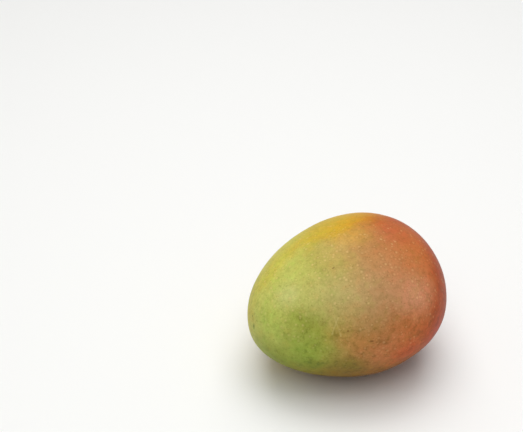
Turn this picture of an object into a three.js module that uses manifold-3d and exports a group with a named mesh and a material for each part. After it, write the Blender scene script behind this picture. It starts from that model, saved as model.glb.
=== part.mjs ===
import * as THREE from 'three';
import { mergeVertices } from 'three/addons/utils/BufferGeometryUtils.js';
import Module from 'manifold-3d';

// A ripe mango, one solid fruit lying on its flatter cheek.
// Its nose points to -X and its stem end to +X. The small flat spot that it rests on is at Z = 0.

// Driving dimensions, in millimetres and degrees
const LENGTH = 117.5; // stem end to nose
const WIDTH = 98.2; // across the edges, back to belly
const THICKNESS = 87.8; // cheek to cheek
const STEM_END_WIDER = 0.182; // how much wider than the middle the stem end grows, as a share
const STEM_END_THICKER = 0.116; // the same from cheek to cheek
const BACK_CURVE = 1.4; // how far both ends bend towards the back
const NOSE_DROP = 6; // how far the nose points down, in degrees
const REST_SPOT_DEPTH = 0.6; // how much of the cheek is pressed flat where the fruit lies

// The stem end: a shallow hollow, and in it the low corky disc where the stalk came off
const STEM_HOLLOW_DEPTH = 3.2;
const STEM_HOLLOW_RADIUS = 9;
const STALK_SCAR_RADIUS = 3.4;
const STALK_SCAR_HEIGHT = 0.9;
const STALK_SCAR_EDGE = 0.9;

// Low swells and flats of the skin. Each has a place, counted in degrees from the stem end (along) and
// from the back edge over the upper cheek (around), a height and how wide it spreads.
const SWELLS = [
  { name: 'upper shoulder', along: 43, around: 68, height: 0.3, spread: 24 },
  { name: 'upper cheek', along: 129, around: 38, height: 0.5, spread: 26 },
  { name: 'flat behind the nose', along: 159, around: 4, height: -0.7, spread: 20 },
  { name: 'beak under the nose', along: 158, around: 274, height: 0.5, spread: 20 },
  { name: 'flat along the belly', along: 108, around: 236, height: -0.8, spread: 26 },
  { name: 'waist of the lower cheek', along: 65, around: 224, height: -1.3, spread: 18 },
  { name: 'lower shoulder', along: 40, around: 212, height: 0.5, spread: 18 },
];

// Steps of the skin, closer together towards both ends
const STEPS_AROUND = 72;
const STEPS_ALONG = 72;
const CROWDING = 0.7;

const skinMaterial = new THREE.MeshStandardMaterial({ color: 0xc79a58, roughness: 0.45, metalness: 0 });

const degrees = THREE.MathUtils.degToRad;
const { Manifold, Mesh } = await loadManifold();

// The unit direction of a place on the fruit. The stem end is +X, the back edge +Y, the upper cheek +Z.
function direction(along, around) {
  return new THREE.Vector3(
    Math.cos(along),
    Math.sin(along) * Math.cos(around),
    Math.sin(along) * Math.sin(around),
  );
}

// Height of all the swells together in one direction
function swellHeight(place) {
  let height = 0;
  for (const swell of SWELLS) {
    const centre = direction(degrees(swell.along), degrees(swell.around));
    const away = 1 - place.dot(centre);
    height += swell.height * Math.exp(-away / (1 - Math.cos(degrees(swell.spread))));
  }
  return height;
}

// How far the stem end dips below the egg shape, less the raised disc, at a distance from its axis
function stemDip(distance) {
  const hollow = STEM_HOLLOW_DEPTH * Math.exp(-((distance / STEM_HOLLOW_RADIUS) ** 2));
  const rim = THREE.MathUtils.smoothstep(distance, STALK_SCAR_RADIUS - STALK_SCAR_EDGE, STALK_SCAR_RADIUS);
  return hollow - STALK_SCAR_HEIGHT * (1 - rim);
}

// One point of the skin: an egg fuller at the stem end, then the swells, then the stem hollow
function skinPoint(place) {
  const point = new THREE.Vector3(
    (LENGTH / 2) * place.x,
    (WIDTH / 2) * place.y * (1 + STEM_END_WIDER * place.x) + BACK_CURVE * (place.x ** 2 - 1 / 3),
    (THICKNESS / 2) * place.z * (1 + STEM_END_THICKER * place.x),
  );
  point.setLength(point.length() + swellHeight(place));
  if (place.x > 0) {
    point.x -= stemDip(Math.hypot(point.y - BACK_CURVE * (2 / 3), point.z));
  }
  return point;
}

// The whole closed skin, from a round ball whose poles are the stem end and the nose
function fruitForm() {
  const ball = new THREE.SphereGeometry(1, STEPS_AROUND, STEPS_ALONG);
  ball.rotateZ(-Math.PI / 2);
  ball.deleteAttribute('normal');
  ball.deleteAttribute('uv');
  const form = mergeVertices(ball, 1e-6);
  const points = form.getAttribute('position');
  for (let i = 0; i < points.count; i += 1) {
    const onBall = new THREE.Vector3().fromBufferAttribute(points, i);
    const evenly = Math.acos(THREE.MathUtils.clamp(onBall.x, -1, 1));
    const along = evenly - (CROWDING / 2) * Math.sin(2 * evenly);
    const around = Math.atan2(onBall.z, onBall.y);
    const point = skinPoint(direction(along, around));
    points.setXYZ(i, point.x, point.y, point.z);
  }
  form.rotateY(-degrees(NOSE_DROP));
  return form;
}

// The flat spot: the lowest part of the cheek is cut off level
function cutRestSpot(form) {
  form.computeBoundingBox();
  const { min, max } = form.boundingBox;
  const floor = min.z + REST_SPOT_DEPTH;
  const block = new THREE.BoxGeometry(LENGTH, LENGTH, THICKNESS);
  block.translate((min.x + max.x) / 2, (min.y + max.y) / 2, floor - THICKNESS / 2);
  const cut = toGeometry(toSolid(form).subtract(toSolid(block)));
  cut.computeBoundingBox();
  const box = cut.boundingBox;
  cut.translate(-(box.min.x + box.max.x) / 2, -(box.min.y + box.max.y) / 2, -box.min.z);
  return cut;
}

// Helpers that turn a closed geometry into a solid for cutting, and back
async function loadManifold() {
  const library = await Module();
  library.setup();
  return library;
}

function toSolid(geometry) {
  const bare = geometry.clone();
  bare.deleteAttribute('normal');
  bare.deleteAttribute('uv');
  const closed = mergeVertices(bare, 1e-6);
  return new Manifold(new Mesh({
    numProp: 3,
    vertProperties: new Float32Array(closed.getAttribute('position').array),
    triVerts: new Uint32Array(closed.getIndex().array),
  }));
}

function toGeometry(solid) {
  const { vertProperties, triVerts } = solid.getMesh();
  const geometry = new THREE.BufferGeometry();
  geometry.setAttribute('position', new THREE.BufferAttribute(vertProperties, 3));
  geometry.setIndex(new THREE.BufferAttribute(triVerts, 1));
  geometry.computeVertexNormals();
  return geometry;
}

const mango = new THREE.Mesh(cutRestSpot(fruitForm()), skinMaterial);
mango.name = 'mango';

const group = new THREE.Group();
group.add(mango);

export default group;
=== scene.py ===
import math

import bmesh
import bpy
from mathutils import Matrix, Vector, noise


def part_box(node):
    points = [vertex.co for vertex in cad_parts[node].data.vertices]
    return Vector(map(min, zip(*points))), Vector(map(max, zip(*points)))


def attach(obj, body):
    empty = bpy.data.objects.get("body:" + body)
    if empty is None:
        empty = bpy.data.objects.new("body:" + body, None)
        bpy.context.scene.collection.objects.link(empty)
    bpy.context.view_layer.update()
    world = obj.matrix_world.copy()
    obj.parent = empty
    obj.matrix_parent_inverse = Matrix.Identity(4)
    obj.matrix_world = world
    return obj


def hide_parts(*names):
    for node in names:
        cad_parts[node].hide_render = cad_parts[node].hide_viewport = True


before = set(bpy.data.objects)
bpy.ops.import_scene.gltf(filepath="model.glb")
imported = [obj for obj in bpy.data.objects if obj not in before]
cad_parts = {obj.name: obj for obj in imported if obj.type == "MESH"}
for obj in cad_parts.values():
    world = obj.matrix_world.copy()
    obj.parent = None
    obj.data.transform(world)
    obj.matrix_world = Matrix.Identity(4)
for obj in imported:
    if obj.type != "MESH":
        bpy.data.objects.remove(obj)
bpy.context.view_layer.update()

# A ripe mango lying on its flatter cheek: its nose points to -X, its stem end to +X, its belly to -Y.

LOW, HIGH = (Vector(corner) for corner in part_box("mango"))
CENTRE = (LOW + HIGH) / 2
MM = 0.001


def paint(red, green, blue):
    """A colour as a paint chart gives it, 0 to 255, as the shader's own linear colour."""
    shares = (channel / 255 for channel in (red, green, blue))
    return tuple(c / 12.92 if c <= 0.04045 else ((c + 0.055) / 1.055) ** 2.4 for c in shares) + (1,)


# Form of the fruit, in millimetres and degrees
LENGTH = 117.5
WIDTH = 98.2
THICKNESS = 87.8
STEM_END_WIDER = 0.182
STEM_END_THICKER = 0.116
BACK_CURVE = 1.4
NOSE_DROP = 6
REST_SPOT_DEPTH = 0.6
REST_SPOT_SOFTNESS = 0.3

STEM_HOLLOW_DEPTH = 3.2
STEM_HOLLOW_RADIUS = 9
STALK_SCAR_RADIUS = 3.4
STALK_SCAR_HEIGHT = 0.9
STALK_SCAR_EDGE = 0.9

# Fine relief, only for the looks: broad waves of the skin, creases around the stem and pitted cork.
# The creases begin, are deepest and end at the three distances of their ring from the stem's axis.
WAVE_SIZE = 19
WAVE_HEIGHT = 0.22
CREASES = 9
CREASE_DEPTH = 0.3
CREASE_SHARPNESS = 3
CREASE_RING = (3.4, 4.4, 8.5)
CREASE_BEND = 2
CREASE_BEND_SIZE = 6
CORK_GRAIN = 0.9
CORK_RELIEF = 0.3

# Low swells and flats of the skin: degrees from the stem end, degrees from the back edge over the
# upper cheek, height and spread
SWELLS = {
    "upper shoulder": (43, 68, 0.3, 24),
    "upper cheek": (129, 38, 0.5, 26),
    "flat behind the nose": (159, 4, -0.7, 20),
    "beak under the nose": (158, 274, 0.5, 20),
    "flat along the belly": (108, 236, -0.8, 26),
    "waist of the lower cheek": (65, 224, -1.3, 18),
    "lower shoulder": (40, 212, 0.5, 18),
}

# Steps of the skin, closer together towards both ends
STEPS_AROUND = 300
STEPS_ALONG = 200
CROWDING = 0.7

# The skin's colours, from green at the nose to red at the stem end. The blush is counted in millimetres
# along the fruit. It starts nearer the nose on the low side of the belly, and further from it on the back.
# Here and below, a soft edge starts at the first limit of its pair and is full at the second.
BLUSH_START = -45
BLUSH_REACH = 100
BLUSH_LOW_SIDE = 23
BLUSH_LOW_SIDE_HEIGHTS = (78, 38)
BLUSH_BACK_LAG = 0.9
BACK_EDGE = (-4, 14)
BACK_EDGE_WANDER = 20
BACK_EDGE_WANDER_SIZE = 15
BELLY_COLOURS = [
    (0.00, paint(206, 208, 108)),
    (0.15, paint(196, 196, 98)),
    (0.25, paint(185, 174, 84)),
    (0.35, paint(185, 157, 76)),
    (0.45, paint(184, 138, 75)),
    (0.55, paint(185, 127, 70)),
    (0.67, paint(192, 121, 68)),
    (0.83, paint(200, 112, 56)),
    (0.97, paint(186, 84, 24)),
]
BACK_COLOURS = [
    (0.00, paint(208, 198, 84)),
    (0.17, paint(207, 180, 62)),
    (0.36, paint(211, 168, 44)),
    (0.48, paint(210, 150, 34)),
    (0.58, paint(195, 116, 34)),
    (0.70, paint(186, 86, 28)),
    (0.90, paint(170, 62, 18)),
]
# Patches over them: colour, strength, centre and reach in millimetres
PATCHES = {
    "leaf green": (paint(147, 176, 60), 0.8, (-37, -31, 41), (31, 27, 24)),
    "deep green": (paint(128, 150, 34), 0.55, (-39, -28, 59), (19, 16, 11)),
    # Olive skin, partly painted shade: darker low on the nose side
    "olive nose side and painted shade": (paint(122, 142, 20), 0.62, (-53, -14, 29), (21, 24, 20)),
    "olive belly": (paint(116, 118, 26), 0.55, (-17, -42, 32), (17, 14, 13)),
    "fresh green nose side": (paint(178, 214, 86), 0.4, (-54, -13, 53), (14, 17, 15)),
    "deep green belly": (paint(104, 136, 34), 0.42, (-36, -32, 31), (17, 14, 9.5)),
    # Painted highlight: a pale patch on the cheek where the light shines
    "painted highlight on the cheek": (paint(212, 212, 144), 0.45, (-43, -14, 68), (15, 13, 11)),
    # Wax bloom and painted sheen: a pale veil across the middle of the belly side
    "wax bloom and painted sheen": (paint(208, 178, 150), 0.26, (-6, -32, 70), (60, 34, 20)),
    # Pink shoulder, partly painted sheen: a paler pink where the light shines
    "pink shoulder and painted sheen": (paint(222, 156, 120), 0.65, (24, -40, 66), (22, 17, 18)),
    "salmon crown": (paint(192, 90, 54), 0.55, (28, -4, 86), (21, 20, 16)),
    "red lower shoulder": (paint(180, 44, 12), 0.7, (40, -40, 38), (18, 18, 20)),
    "red belly": (paint(196, 74, 30), 0.6, (16, -49, 36), (16, 14, 13)),
    "gold crest": (paint(224, 176, 50), 0.38, (4, -1, 87), (16, 12, 10)),
    "tan ridge": (paint(216, 186, 110), 0.3, (-10, -5, 85), (18, 14, 10)),
    "tan flank": (paint(198, 132, 66), 0.5, (-14, -44, 48), (14, 14, 12)),
}
# How the edges of the patches wander: the size of the waves and how far they push
WIDE_DRIFT = (24, 5)
SMALL_DRIFT = (6, 1.8)

STEM_END_RUST = paint(168, 60, 8)
STEM_END = (35, 54)
STEM_END_STRENGTH = 0.8
# Painted shade: the skin is darkened and tinted olive low down, most on the belly side and less on the back
PAINTED_UNDERSIDE_SHADE = (0.53, 0.62, 0.16, 1)
PAINTED_SHADE_HEIGHTS = (43, 18)
PAINTED_SHADE_BELLY_SIDE = (0, -24)
PAINTED_SHADE_SHARE_ON_BACK = 0.3

# Small unevenness of the colour, in clouds that are 0.5 on average. Each tone multiplies the colour
# under it. The mottling is stronger low down, and calmer near the nose and on the back.
DEEPER = (0.69, 0.72, 0.6, 1)
PALER = (1.2, 1.2, 1.34, 1)
MOTTLE_SIZE = 3.4
MOTTLE_DEEP = (0.52, 0.28)
MOTTLE_PALE = (0.5, 0.74)
MOTTLE_UPPER = 0.42
MOTTLE_LOWER = 0.97
MOTTLE_HEIGHTS = (68, 52)
MOTTLE_CALM = 0.4
CALM_NOSE = (-36, -54)
CALM_BACK = (-6, 22)
GREENER = (0.94, 1.03, 0.9, 1)
REDDER = (1.05, 0.965, 0.95, 1)
HUE_SIZE = 5
HUE_DRIFT = (9, 3)
HUE_GREEN = (0.48, 0.3)
HUE_RED = (0.52, 0.7)
HUE_STRENGTH = 0.8
PORE_DARK = (0.66, 0.66, 0.54, 1)
GRAIN_SIZE = 0.9
GRAIN_DARK = (0.5, 0.25)
GRAIN_STRENGTH = 0.5

# Dots of the skin: spacing, smallest and largest radius in millimetres, and soft edge in radii
PORE_SPACING = 1.9
PORE_RADII = (0.25, 0.5)
PORE_EDGE = (1.2, 0.4)
PORE_STRENGTH = 0.6
SPECK_BROWN = paint(96, 68, 34)
SPECK_SPACING = 14
SPECK_RADII = (0.3, 0.6)
SPECK_EDGE = (1.0, 0.5)
SPECK_STRENGTH = 0.5
# The lenticels, the skin's pale breathing pores, gather in fields. Each has a strength of its own, and
# they are fainter low down.
LENTICEL_PALE = paint(238, 204, 140)
LENTICEL_SPACING = 2.4
LENTICEL_RADII = (0.5, 1.15)
LENTICEL_EDGE = (1.1, 0.1)
LENTICEL_RING = (2.0, 1.2)
LENTICEL_RING_STRENGTH = 0.2
LENTICEL_FIELD_SIZE = 14
LENTICEL_FIELD = (0.36, 0.6)
LENTICEL_OUTSIDE_FIELDS = 0.13
LENTICEL_IN_FIELDS = 0.35
LENTICEL_FAINTEST = 0.5
LENTICEL_HEIGHTS = (34, 62)
LENTICEL_LOW_DOWN = 0.4

# Marks of the skin, each at its own place in millimetres
SCRATCH_PALE = paint(208, 190, 118)
SCRATCHES = {
    "left limb of the scratch": ((-22.1, -35.8, 62.4), (-26.3, -37.6, 53.9)),
    "right limb of the scratch": ((-23.6, -34.8, 62.2), (-22.1, -40.3, 53.1)),
}
SCRATCH_WIDTH = 0.8
SCRATCH_DRIFT = (3, 0.4)
SCRATCH_STRENGTH = 0.6
NICK_BROWN = paint(112, 66, 30)
NICKS = {
    "nick on the belly": ((-6.5, -47.1, 49.6), (2.2, 1.2, 0.8)),
    "small nick on the belly": ((-4.2, -47.4, 48.6), (1.2, 1, 1.2)),
    "nick by the scratch": ((-18.4, -41.1, 56), (0.9, 0.9, 0.9)),
    "nick on the upper cheek": ((-16, -15.8, 80.7), (1.3, 0.6, 0.6)),
}
NICK_STRENGTH = 0.8
NOSE_MARK_GREEN = paint(98, 116, 34)
NOSE_MARK = ((-57.6, -2.2, 43.0), (3, 1.4, 2.6))
NOSE_MARK_DRIFT = (2, 0.6)
NOSE_MARK_STRENGTH = 0.8

# The cork of the stalk's scar, its dark rim, partly painted shade of the crease round the scar, and the sap
# stain around it, by distance from its middle
CORK_DARK = paint(84, 60, 40)
CORK_PALE = paint(150, 118, 84)
CORK_SIZE = 1.6
CORK_SHADES = (0.25, 0.8)
CORK_EDGE = (STALK_SCAR_RADIUS + 0.4, STALK_SCAR_RADIUS - 0.2)
CORK_RIM_WITH_PAINTED_SHADE = (STALK_SCAR_RADIUS - 1.6, STALK_SCAR_RADIUS - 0.2)
CORK_RIM_PAINTED_SHADE_DARKNESS = 0.8
CORK_EDGE_WANDER = 2
CORK_EDGE_WANDER_SIZE = 2.2
SAP_STAIN = paint(120, 84, 40)
SAP_EDGE = (9, 3)
SAP_SIZE = 3
SAP_GAPS = (0.3, 0.6)
SAP_STRENGTH = 0.6

# Gloss and fine bumps of the skin
SPECULAR_LEVEL = 0.16
ROUGHNESS = 0.42
ROUGHNESS_UNEVEN = 0.1
ROUGHNESS_UNEVEN_SIZE = 5
ROUGHNESS_LENTICELS = 0.1
ROUGHNESS_CORK = 0.3
BUMP_HEIGHT = 0.06
BUMP_GRAIN = 0.3
BUMP_GRAIN_SIZE = 0.7
BUMP_LENTICELS = 0.5
BUMP_DIMPLES = 1.2
BUMP_DIMPLES_SIZE = 4

# Camera of the photograph: its frame in pixels, the size of a pixel at the fruit and the fruit's place
FRAME_WIDTH_PX = 523
FRAME_HEIGHT_PX = 432
MM_PER_PX = 0.575
FRUIT_CENTRE_PX = (344.3, 297.2)
CAMERA_AZIMUTH = -23.5
CAMERA_ELEVATION = 35
LENS_MM = 100
SENSOR_MM = 36

# Studio: floor and softboxes in metres, degrees and watts
FLOOR_RADIUS = 4
FLOOR_SIDES = 64
FLOOR_GAP = 0.0001
FLOOR_WHITE = paint(247, 247, 245)
FLOOR_ROUGHNESS = 0.8
SKY_STRENGTH = 0.25
SOFTBOXES = {
    "overhead softbox": {"azimuth": -20, "elevation": 88, "distance": 1.2, "size": 1.1, "power": 9},
    "back softbox": {"azimuth": 157, "elevation": 62, "distance": 1.2, "size": 1.1, "power": 5},
    "front softbox": {"azimuth": -30, "elevation": 50, "distance": 1.2, "size": 0.5, "power": 2.2},
}


def direction(along, around):
    """Unit direction of a place on the fruit, in degrees from the stem end and around from the back."""
    along, around = math.radians(along), math.radians(around)
    return Vector((math.cos(along), math.sin(along) * math.cos(around), math.sin(along) * math.sin(around)))


SWELL_RULES = [
    (direction(along, around), height, 1 - math.cos(math.radians(spread)))
    for along, around, height, spread in SWELLS.values()
]


def swell_height(place):
    """Height of all the swells together in one direction."""
    return sum(height * math.exp(-(1 - place.dot(centre)) / width) for centre, height, width in SWELL_RULES)


def smooth_step(value, low, high):
    """0 below the low limit, 1 above the high one, with a smooth rise between them."""
    share = min(max((value - low) / (high - low), 0), 1)
    return share * share * (3 - 2 * share)


def smooth_max(a, b, softness):
    """The larger of two numbers, rounded where they are nearly the same."""
    near = max(softness - abs(a - b), 0) / softness
    return max(a, b) + near * near * softness / 4


def stem_dip(distance):
    """How far the stem end dips below the egg shape, less the raised disc of the stalk's scar."""
    hollow = STEM_HOLLOW_DEPTH * math.exp(-((distance / STEM_HOLLOW_RADIUS) ** 2))
    rim = smooth_step(distance, STALK_SCAR_RADIUS - STALK_SCAR_EDGE, STALK_SCAR_RADIUS)
    return hollow - STALK_SCAR_HEIGHT * (1 - rim)


def stem_relief(across, up):
    """Creases that run out from the scar, and the pits of its cork."""
    distance = math.hypot(across, up)
    start, deepest, end = CREASE_RING
    ring = smooth_step(distance, start, deepest) * (1 - smooth_step(distance, deepest, end))
    bend = noise.noise(Vector((across, up, 0)) / CREASE_BEND_SIZE) * CREASE_BEND
    wave = 0.5 + 0.5 * math.cos(CREASES * math.atan2(up, across) + bend)
    pits = noise.noise(Vector((across, up, 0)) / CORK_GRAIN)
    on_cork = 1 - smooth_step(distance, STALK_SCAR_RADIUS - STALK_SCAR_EDGE, STALK_SCAR_RADIUS)
    return wave ** CREASE_SHARPNESS * ring * CREASE_DEPTH + pits * on_cork * CORK_RELIEF


def skin_point(place):
    """One point of the skin: an egg fuller at the stem end, then the swells, then the stem hollow."""
    point = Vector((
        LENGTH / 2 * place.x,
        WIDTH / 2 * place.y * (1 + STEM_END_WIDER * place.x) + BACK_CURVE * (place.x ** 2 - 1 / 3),
        THICKNESS / 2 * place.z * (1 + STEM_END_THICKER * place.x),
    ))
    point.length += swell_height(place) + noise.noise(point / WAVE_SIZE) * WAVE_HEIGHT
    if place.x > 0:
        across, up = point.y - BACK_CURVE * 2 / 3, point.z
        point.x -= stem_dip(math.hypot(across, up)) + stem_relief(across, up)
    return point


def make_fruit():
    """The whole closed skin, from a round ball whose poles are the stem end and the nose."""
    bm = bmesh.new()
    bmesh.ops.create_uvsphere(
        bm,
        u_segments=STEPS_AROUND,
        v_segments=STEPS_ALONG,
        radius=1,
        matrix=Matrix.Rotation(math.radians(90), 4, "Y"),
    )
    stem_end = max(bm.verts, key=lambda vert: vert.co.x)
    for vert in bm.verts:
        evenly = math.acos(min(max(vert.co.x, -1), 1))
        along = evenly - CROWDING / 2 * math.sin(2 * evenly)
        around = math.atan2(vert.co.z, vert.co.y)
        vert.co = skin_point(direction(math.degrees(along), math.degrees(around)))
    bmesh.ops.rotate(bm, verts=bm.verts, matrix=Matrix.Rotation(-math.radians(NOSE_DROP), 3, "Y"))
    floor = min(vert.co.z for vert in bm.verts) + REST_SPOT_DEPTH
    for vert in bm.verts:
        vert.co.z = smooth_max(vert.co.z, floor, REST_SPOT_SOFTNESS)
    bmesh.ops.scale(bm, verts=bm.verts, vec=(MM, MM, MM))
    corners = [[pick(vert.co[axis] for vert in bm.verts) for axis in range(3)] for pick in (min, max)]
    middle = (Vector(corners[0]) + Vector(corners[1])) / 2
    shift = Vector((CENTRE.x - middle.x, CENTRE.y - middle.y, LOW.z - corners[0][2]))
    bmesh.ops.translate(bm, verts=bm.verts, vec=shift)
    bmesh.ops.recalc_face_normals(bm, faces=bm.faces)
    for face in bm.faces:
        face.smooth = True
    stem_place = stem_end.co / MM
    return finish_piece("mango_skin", bm), stem_place


def finish_piece(name, bm):
    """A new object of the scene from a finished bmesh."""
    mesh = bpy.data.meshes.new(name)
    bm.to_mesh(mesh)
    bm.free()
    piece = bpy.data.objects.new(name, mesh)
    bpy.context.scene.collection.objects.link(piece)
    return piece


class Wire:
    """One socket of a finish. Sums and products of wires add Math nodes."""

    def __init__(self, tree, socket):
        self.tree = tree
        self.socket = socket

    def node(self, kind, settings, inputs, out=0):
        """Any other node: its settings first, then the values or wires of its sockets."""
        node = self.tree.nodes.new(kind)
        for name, setting in settings.items():
            if name == "stops":
                set_stops(node.color_ramp, setting)
            else:
                setattr(node, name, setting)
        for name, value in inputs.items():
            if isinstance(value, Wire):
                self.tree.links.new(value.socket, node.inputs[name])
            else:
                node.inputs[name].default_value = value
        return Wire(self.tree, node.outputs[out])

    def math(self, operation, first, second):
        """A Math node on two values or wires."""
        return self.node("ShaderNodeMath", {"operation": operation}, {0: first, 1: second})

    def at_least(self, other):
        """The larger of this wire and another value."""
        return self.math("MAXIMUM", self, other)

    def __add__(self, other):
        return self.math("ADD", self, other)

    def __sub__(self, other):
        return self.math("SUBTRACT", self, other)

    def __rsub__(self, other):
        return self.math("SUBTRACT", other, self)

    def __mul__(self, other):
        return self.math("MULTIPLY", self, other)

    __radd__ = __add__
    __rmul__ = __mul__


def set_stops(ramp, stops):
    """The colours of a ramp, each at its place from 0 to 1."""
    while len(ramp.elements) < len(stops):
        ramp.elements.new(1)
    for element, (place, colour) in zip(ramp.elements, stops):
        element.position = place
        element.color = colour


def soft(value, none, full):
    """A mask that grows softly from 0 where the value is none to 1 where it is full."""
    settings = {"interpolation_type": "SMOOTHSTEP"}
    return value.node("ShaderNodeMapRange", settings, {"Value": value, "From Min": none, "From Max": full})


def between(mask, low, high):
    """A value that is low where the mask is 0 and high where it is 1."""
    return mask * (high - low) + low


def layer(under, over, mask):
    """One colour laid over another through a mask."""
    return mask.node("ShaderNodeMix", {"data_type": "RGBA"}, {0: mask, 6: under, 7: over}, out=2)


def tone(colour, by, mask):
    """A colour deepened or lightened by another through a mask."""
    settings = {"data_type": "RGBA", "blend_type": "MULTIPLY"}
    return mask.node("ShaderNodeMix", settings, {0: mask, 6: colour, 7: by}, out=2)


def coordinates(place):
    """The place's distances along X, Y and Z."""
    return [place.node("ShaderNodeSeparateXYZ", {}, {0: place}, out=axis) for axis in range(3)]


def cloud(place, size, detail=2.0, roughness=0.5):
    """Soft unevenness of a size in millimetres, about 0.5 on average."""
    inputs = {"Vector": place, "Scale": 1 / size, "Detail": detail, "Roughness": roughness}
    return place.node("ShaderNodeTexNoise", {}, inputs)


def drift(place, size, reach):
    """The same places pushed about a little, so that the edge of a patch wanders."""
    inputs = {"Vector": place, "Scale": 1 / size, "Detail": 3.0, "Roughness": 0.55}
    push = place.node("ShaderNodeTexNoise", {}, inputs, out=1)
    push = push.node("ShaderNodeVectorMath", {"operation": "SUBTRACT"}, {0: push, 1: (0.5, 0.5, 0.5)})
    push = push.node("ShaderNodeVectorMath", {"operation": "SCALE"}, {0: push, "Scale": 2 * reach})
    return push.node("ShaderNodeVectorMath", {"operation": "ADD"}, {0: place, 1: push})


def away_from(place, other):
    """How far a place is from another one."""
    return place.node("ShaderNodeVectorMath", {"operation": "DISTANCE"}, {0: place, 1: other}, out=1)


def patch(place, centre, reach):
    """A soft round mask: 1 at its centre, 0 at its reach along each axis, both in millimetres."""
    off = place.node("ShaderNodeVectorMath", {"operation": "SUBTRACT"}, {0: place, 1: centre})
    off = off.node("ShaderNodeVectorMath", {"operation": "DIVIDE"}, {0: off, 1: reach})
    return soft(off.node("ShaderNodeVectorMath", {"operation": "LENGTH"}, {0: off}, out=1), 1.0, 0.0)


def dots(place, spacing, smallest, largest):
    """Scattered dots: how far each place is from its dot's centre in radii, and a number for each dot."""
    inputs = {"Vector": place, "Scale": 1 / spacing}
    away = place.node("ShaderNodeTexVoronoi", {}, inputs)
    colour = place.node("ShaderNodeTexVoronoi", {}, inputs, out=1)
    chance = colour.node("ShaderNodeSeparateColor", {}, {0: colour})
    radius = between(chance, smallest, largest)
    return away.math("DIVIDE", away * spacing, radius), chance


def streak(place, start, end, width):
    """A thin soft line on the skin from one place to another."""
    run = Vector(end) - Vector(start)
    off = place.node("ShaderNodeVectorMath", {"operation": "SUBTRACT"}, {0: place, 1: start})
    along = off.node("ShaderNodeVectorMath", {"operation": "DOT_PRODUCT"}, {0: off, 1: run}, out=1)
    along = along.node("ShaderNodeClamp", {}, {0: along * (1 / run.length_squared)})
    nearest = along.node("ShaderNodeVectorMath", {"operation": "SCALE"}, {0: run, "Scale": along})
    return soft(away_from(off, nearest), width, 0)


def skin_colour(place):
    """Green nose, yellow back and red stem end, with the softer patches over them, some partly painted
    light, and painted shade low down.
    """
    wandering = drift(drift(place, *WIDE_DRIFT), *SMALL_DRIFT)
    x, y, z = coordinates(wandering)
    blush = x + soft(z, *BLUSH_LOW_SIDE_HEIGHTS) * BLUSH_LOW_SIDE - y.at_least(0) * BLUSH_BACK_LAG
    share = (blush - BLUSH_START) * (1 / BLUSH_REACH)
    belly = share.node("ShaderNodeValToRGB", {"stops": BELLY_COLOURS}, {0: share})
    back = share.node("ShaderNodeValToRGB", {"stops": BACK_COLOURS}, {0: share})
    wander = (cloud(place, BACK_EDGE_WANDER_SIZE, detail=3.0) - 0.5) * BACK_EDGE_WANDER
    colour = layer(belly, back, soft(y + wander, *BACK_EDGE))
    for over, strength, centre, reach in PATCHES.values():
        colour = layer(colour, over, patch(wandering, centre, reach) * strength)
    colour = layer(colour, STEM_END_RUST, soft(x, *STEM_END) * STEM_END_STRENGTH)
    # Painted shade: darker and more olive low down, most on the belly side
    painted_shade = soft(z, *PAINTED_SHADE_HEIGHTS) * between(soft(y, *PAINTED_SHADE_BELLY_SIDE), PAINTED_SHADE_SHARE_ON_BACK, 1)
    return tone(colour, PAINTED_UNDERSIDE_SHADE, painted_shade)


def with_mottling(colour, place):
    """Uneven pigment: deeper, paler, greener and redder spots of a few millimetres, and a fine grain."""
    x, y, z = coordinates(place)
    calm = soft(x, *CALM_NOSE).at_least(soft(y, *CALM_BACK))
    strength = between(soft(z, *MOTTLE_HEIGHTS), MOTTLE_UPPER, MOTTLE_LOWER) * (1 - calm * MOTTLE_CALM)
    spots = cloud(place, MOTTLE_SIZE, detail=3.0, roughness=0.62)
    colour = tone(colour, DEEPER, soft(spots, *MOTTLE_DEEP) * strength)
    colour = tone(colour, PALER, soft(spots, *MOTTLE_PALE) * strength)
    hue = cloud(drift(place, *HUE_DRIFT), HUE_SIZE)
    colour = tone(colour, GREENER, soft(hue, *HUE_GREEN) * HUE_STRENGTH)
    colour = tone(colour, REDDER, soft(hue, *HUE_RED) * HUE_STRENGTH)
    grain = cloud(place, GRAIN_SIZE, roughness=0.7)
    return tone(colour, PORE_DARK, soft(grain, *GRAIN_DARK) * GRAIN_STRENGTH)


def with_specks(colour, place):
    """Fine dark pores all over, and a few brown specks."""
    pores, _ = dots(place, PORE_SPACING, *PORE_RADII)
    colour = tone(colour, PORE_DARK, soft(pores, *PORE_EDGE) * PORE_STRENGTH)
    specks, _ = dots(place, SPECK_SPACING, *SPECK_RADII)
    return layer(colour, SPECK_BROWN, soft(specks, *SPECK_EDGE) * SPECK_STRENGTH)


def with_lenticels(colour, place):
    """The pale dots, each in a faint dark ring, and the mask of the dots."""
    away, chance = dots(place, LENTICEL_SPACING, *LENTICEL_RADII)
    height = coordinates(place)[2]
    shown = between(soft(height, *LENTICEL_HEIGHTS), LENTICEL_LOW_DOWN, 1)
    dot = soft(away, *LENTICEL_EDGE)
    ring = soft(away, *LENTICEL_RING) - dot
    colour = tone(colour, PORE_DARK, ring * shown * LENTICEL_RING_STRENGTH)
    field = soft(cloud(place, LENTICEL_FIELD_SIZE, detail=1.0), *LENTICEL_FIELD)
    strength = between(field, LENTICEL_OUTSIDE_FIELDS, LENTICEL_IN_FIELDS)
    strength = strength * between(chance, LENTICEL_FAINTEST, 1)
    return layer(colour, LENTICEL_PALE, dot * shown * strength), dot


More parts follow.
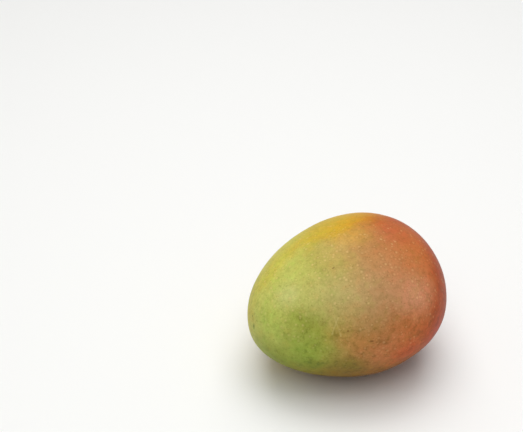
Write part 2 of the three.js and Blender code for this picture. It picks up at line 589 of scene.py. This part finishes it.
def with_marks(colour, place):
    """The scratch, the nicks and the withered point of the nose."""
    for start, end in SCRATCHES.values():
        scratch = streak(drift(place, *SCRATCH_DRIFT), start, end, SCRATCH_WIDTH)
        colour = layer(colour, SCRATCH_PALE, scratch * SCRATCH_STRENGTH)
    for centre, reach in NICKS.values():
        colour = layer(colour, NICK_BROWN, patch(place, centre, reach) * NICK_STRENGTH)
    nose_mark = patch(drift(place, *NOSE_MARK_DRIFT), *NOSE_MARK)
    return layer(colour, NOSE_MARK_GREEN, nose_mark * NOSE_MARK_STRENGTH)


def with_stalk_scar(colour, place, stem_place):
    """The sap stain and the cork where the stalk came off, darker at its rim, partly painted shade of the
    crease round the scar, and the mask of the cork.
    """
    wander = (cloud(place, CORK_EDGE_WANDER_SIZE, detail=3.0, roughness=0.6) - 0.5) * CORK_EDGE_WANDER
    away = away_from(place, stem_place) + wander
    sap = soft(away, *SAP_EDGE) * soft(cloud(place, SAP_SIZE), *SAP_GAPS)
    colour = layer(colour, SAP_STAIN, sap * SAP_STRENGTH)
    pale = soft(cloud(place, CORK_SIZE, detail=3.0), *CORK_SHADES)
    # Painted shade: the cork darkens towards its rim, partly a real dark rim and partly the shade of the
    # crease round the scar
    rim = soft(away, *CORK_RIM_WITH_PAINTED_SHADE)
    cork = layer(CORK_DARK, CORK_PALE, pale * (1 - rim * CORK_RIM_PAINTED_SHADE_DARKNESS))
    scar = soft(away, *CORK_EDGE)
    return layer(colour, cork, scar), scar


def skin_finish(stem_place):
    """The whole skin, from the blush to the last nick. Places are millimetres in the object's own frame."""
    material = bpy.data.materials.new("mango skin")
    material.use_nodes = True
    tree = material.node_tree
    shader = tree.nodes["Principled BSDF"]
    place = Wire(tree, None).node("ShaderNodeTexCoord", {}, {}, out="Object")
    place = place.node("ShaderNodeVectorMath", {"operation": "SCALE"}, {0: place, "Scale": 1 / MM})

    colour = with_specks(with_mottling(skin_colour(place), place), place)
    colour, lenticels = with_lenticels(colour, place)
    colour, cork = with_stalk_scar(with_marks(colour, place), place, stem_place)
    tree.links.new(colour.socket, shader.inputs["Base Color"])

    uneven = cloud(place, ROUGHNESS_UNEVEN_SIZE) * ROUGHNESS_UNEVEN
    rough = uneven + lenticels * ROUGHNESS_LENTICELS + cork * ROUGHNESS_CORK + ROUGHNESS
    tree.links.new(rough.socket, shader.inputs["Roughness"])
    shader.inputs["Specular IOR Level"].default_value = SPECULAR_LEVEL

    grain = cloud(place, BUMP_GRAIN_SIZE) * BUMP_GRAIN
    relief = grain + lenticels * BUMP_LENTICELS + cloud(place, BUMP_DIMPLES_SIZE) * BUMP_DIMPLES
    inputs = {"Height": relief, "Distance": BUMP_HEIGHT * MM, "Strength": 1.0}
    bump = relief.node("ShaderNodeBump", {}, inputs)
    tree.links.new(bump.socket, shader.inputs["Normal"])
    return material


def plain_material(name, colour, roughness):
    """A finish of one colour."""
    material = bpy.data.materials.new(name)
    material.use_nodes = True
    shader = material.node_tree.nodes["Principled BSDF"]
    shader.inputs["Base Color"].default_value = colour
    shader.inputs["Roughness"].default_value = roughness
    return material


def from_fruit(azimuth, elevation):
    """Unit direction from the fruit to a camera or a light, in degrees from the front and up."""
    azimuth, elevation = math.radians(azimuth), math.radians(elevation)
    flat = math.cos(elevation)
    return Vector((math.sin(azimuth) * flat, -math.cos(azimuth) * flat, math.sin(elevation)))


def place_camera():
    """The photograph's view: the aim is set so that the fruit sits at its own place in the frame."""
    azimuth = math.radians(CAMERA_AZIMUTH)
    back = from_fruit(CAMERA_AZIMUTH, CAMERA_ELEVATION)
    right = Vector((math.cos(azimuth), math.sin(azimuth), 0))
    up = back.cross(right)
    pixel = MM_PER_PX * MM
    off_right = (FRUIT_CENTRE_PX[0] - FRAME_WIDTH_PX / 2) * pixel
    off_up = (FRAME_HEIGHT_PX / 2 - FRUIT_CENTRE_PX[1]) * pixel
    aim = CENTRE - off_right * right - off_up * up
    away = LENS_MM / SENSOR_MM * FRAME_WIDTH_PX * pixel
    data = bpy.data.cameras.new("camera")
    data.lens = LENS_MM
    data.sensor_width = SENSOR_MM
    camera = bpy.data.objects.new("camera", data)
    camera.rotation_euler = Matrix((right, up, back)).transposed().to_euler()
    camera.location = aim + back * away
    bpy.context.scene.collection.objects.link(camera)
    bpy.context.scene.camera = camera


def place_softbox(name, azimuth, elevation, distance, size, power):
    """A square soft light that looks at the fruit."""
    away = from_fruit(azimuth, elevation)
    data = bpy.data.lights.new(name, "AREA")
    data.size = size
    data.energy = power
    light = bpy.data.objects.new(name, data)
    light.rotation_euler = away.to_track_quat("Z", "Y").to_euler()
    light.location = CENTRE + away * distance
    bpy.context.scene.collection.objects.link(light)


def place_studio():
    """A pale floor just under the fruit, an even sky and three softboxes."""
    bm = bmesh.new()
    bmesh.ops.create_circle(bm, cap_ends=True, segments=FLOOR_SIDES, radius=FLOOR_RADIUS)
    bmesh.ops.translate(bm, verts=bm.verts, vec=(0, 0, -FLOOR_GAP))
    floor = finish_piece("floor", bm)
    floor.data.materials.append(plain_material("floor", FLOOR_WHITE, FLOOR_ROUGHNESS))
    world = bpy.data.worlds.new("studio")
    world.use_nodes = True
    sky = world.node_tree.nodes["Background"]
    sky.inputs["Color"].default_value = (1, 1, 1, 1)
    sky.inputs["Strength"].default_value = SKY_STRENGTH
    bpy.context.scene.world = world
    bpy.context.scene.view_settings.view_transform = "Standard"
    for name, settings in SOFTBOXES.items():
        place_softbox(name, **settings)


fruit, stem_place = make_fruit()
fruit.data.materials.append(skin_finish(stem_place))
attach(fruit, "root")
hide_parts("mango")

place_camera()
place_studio()
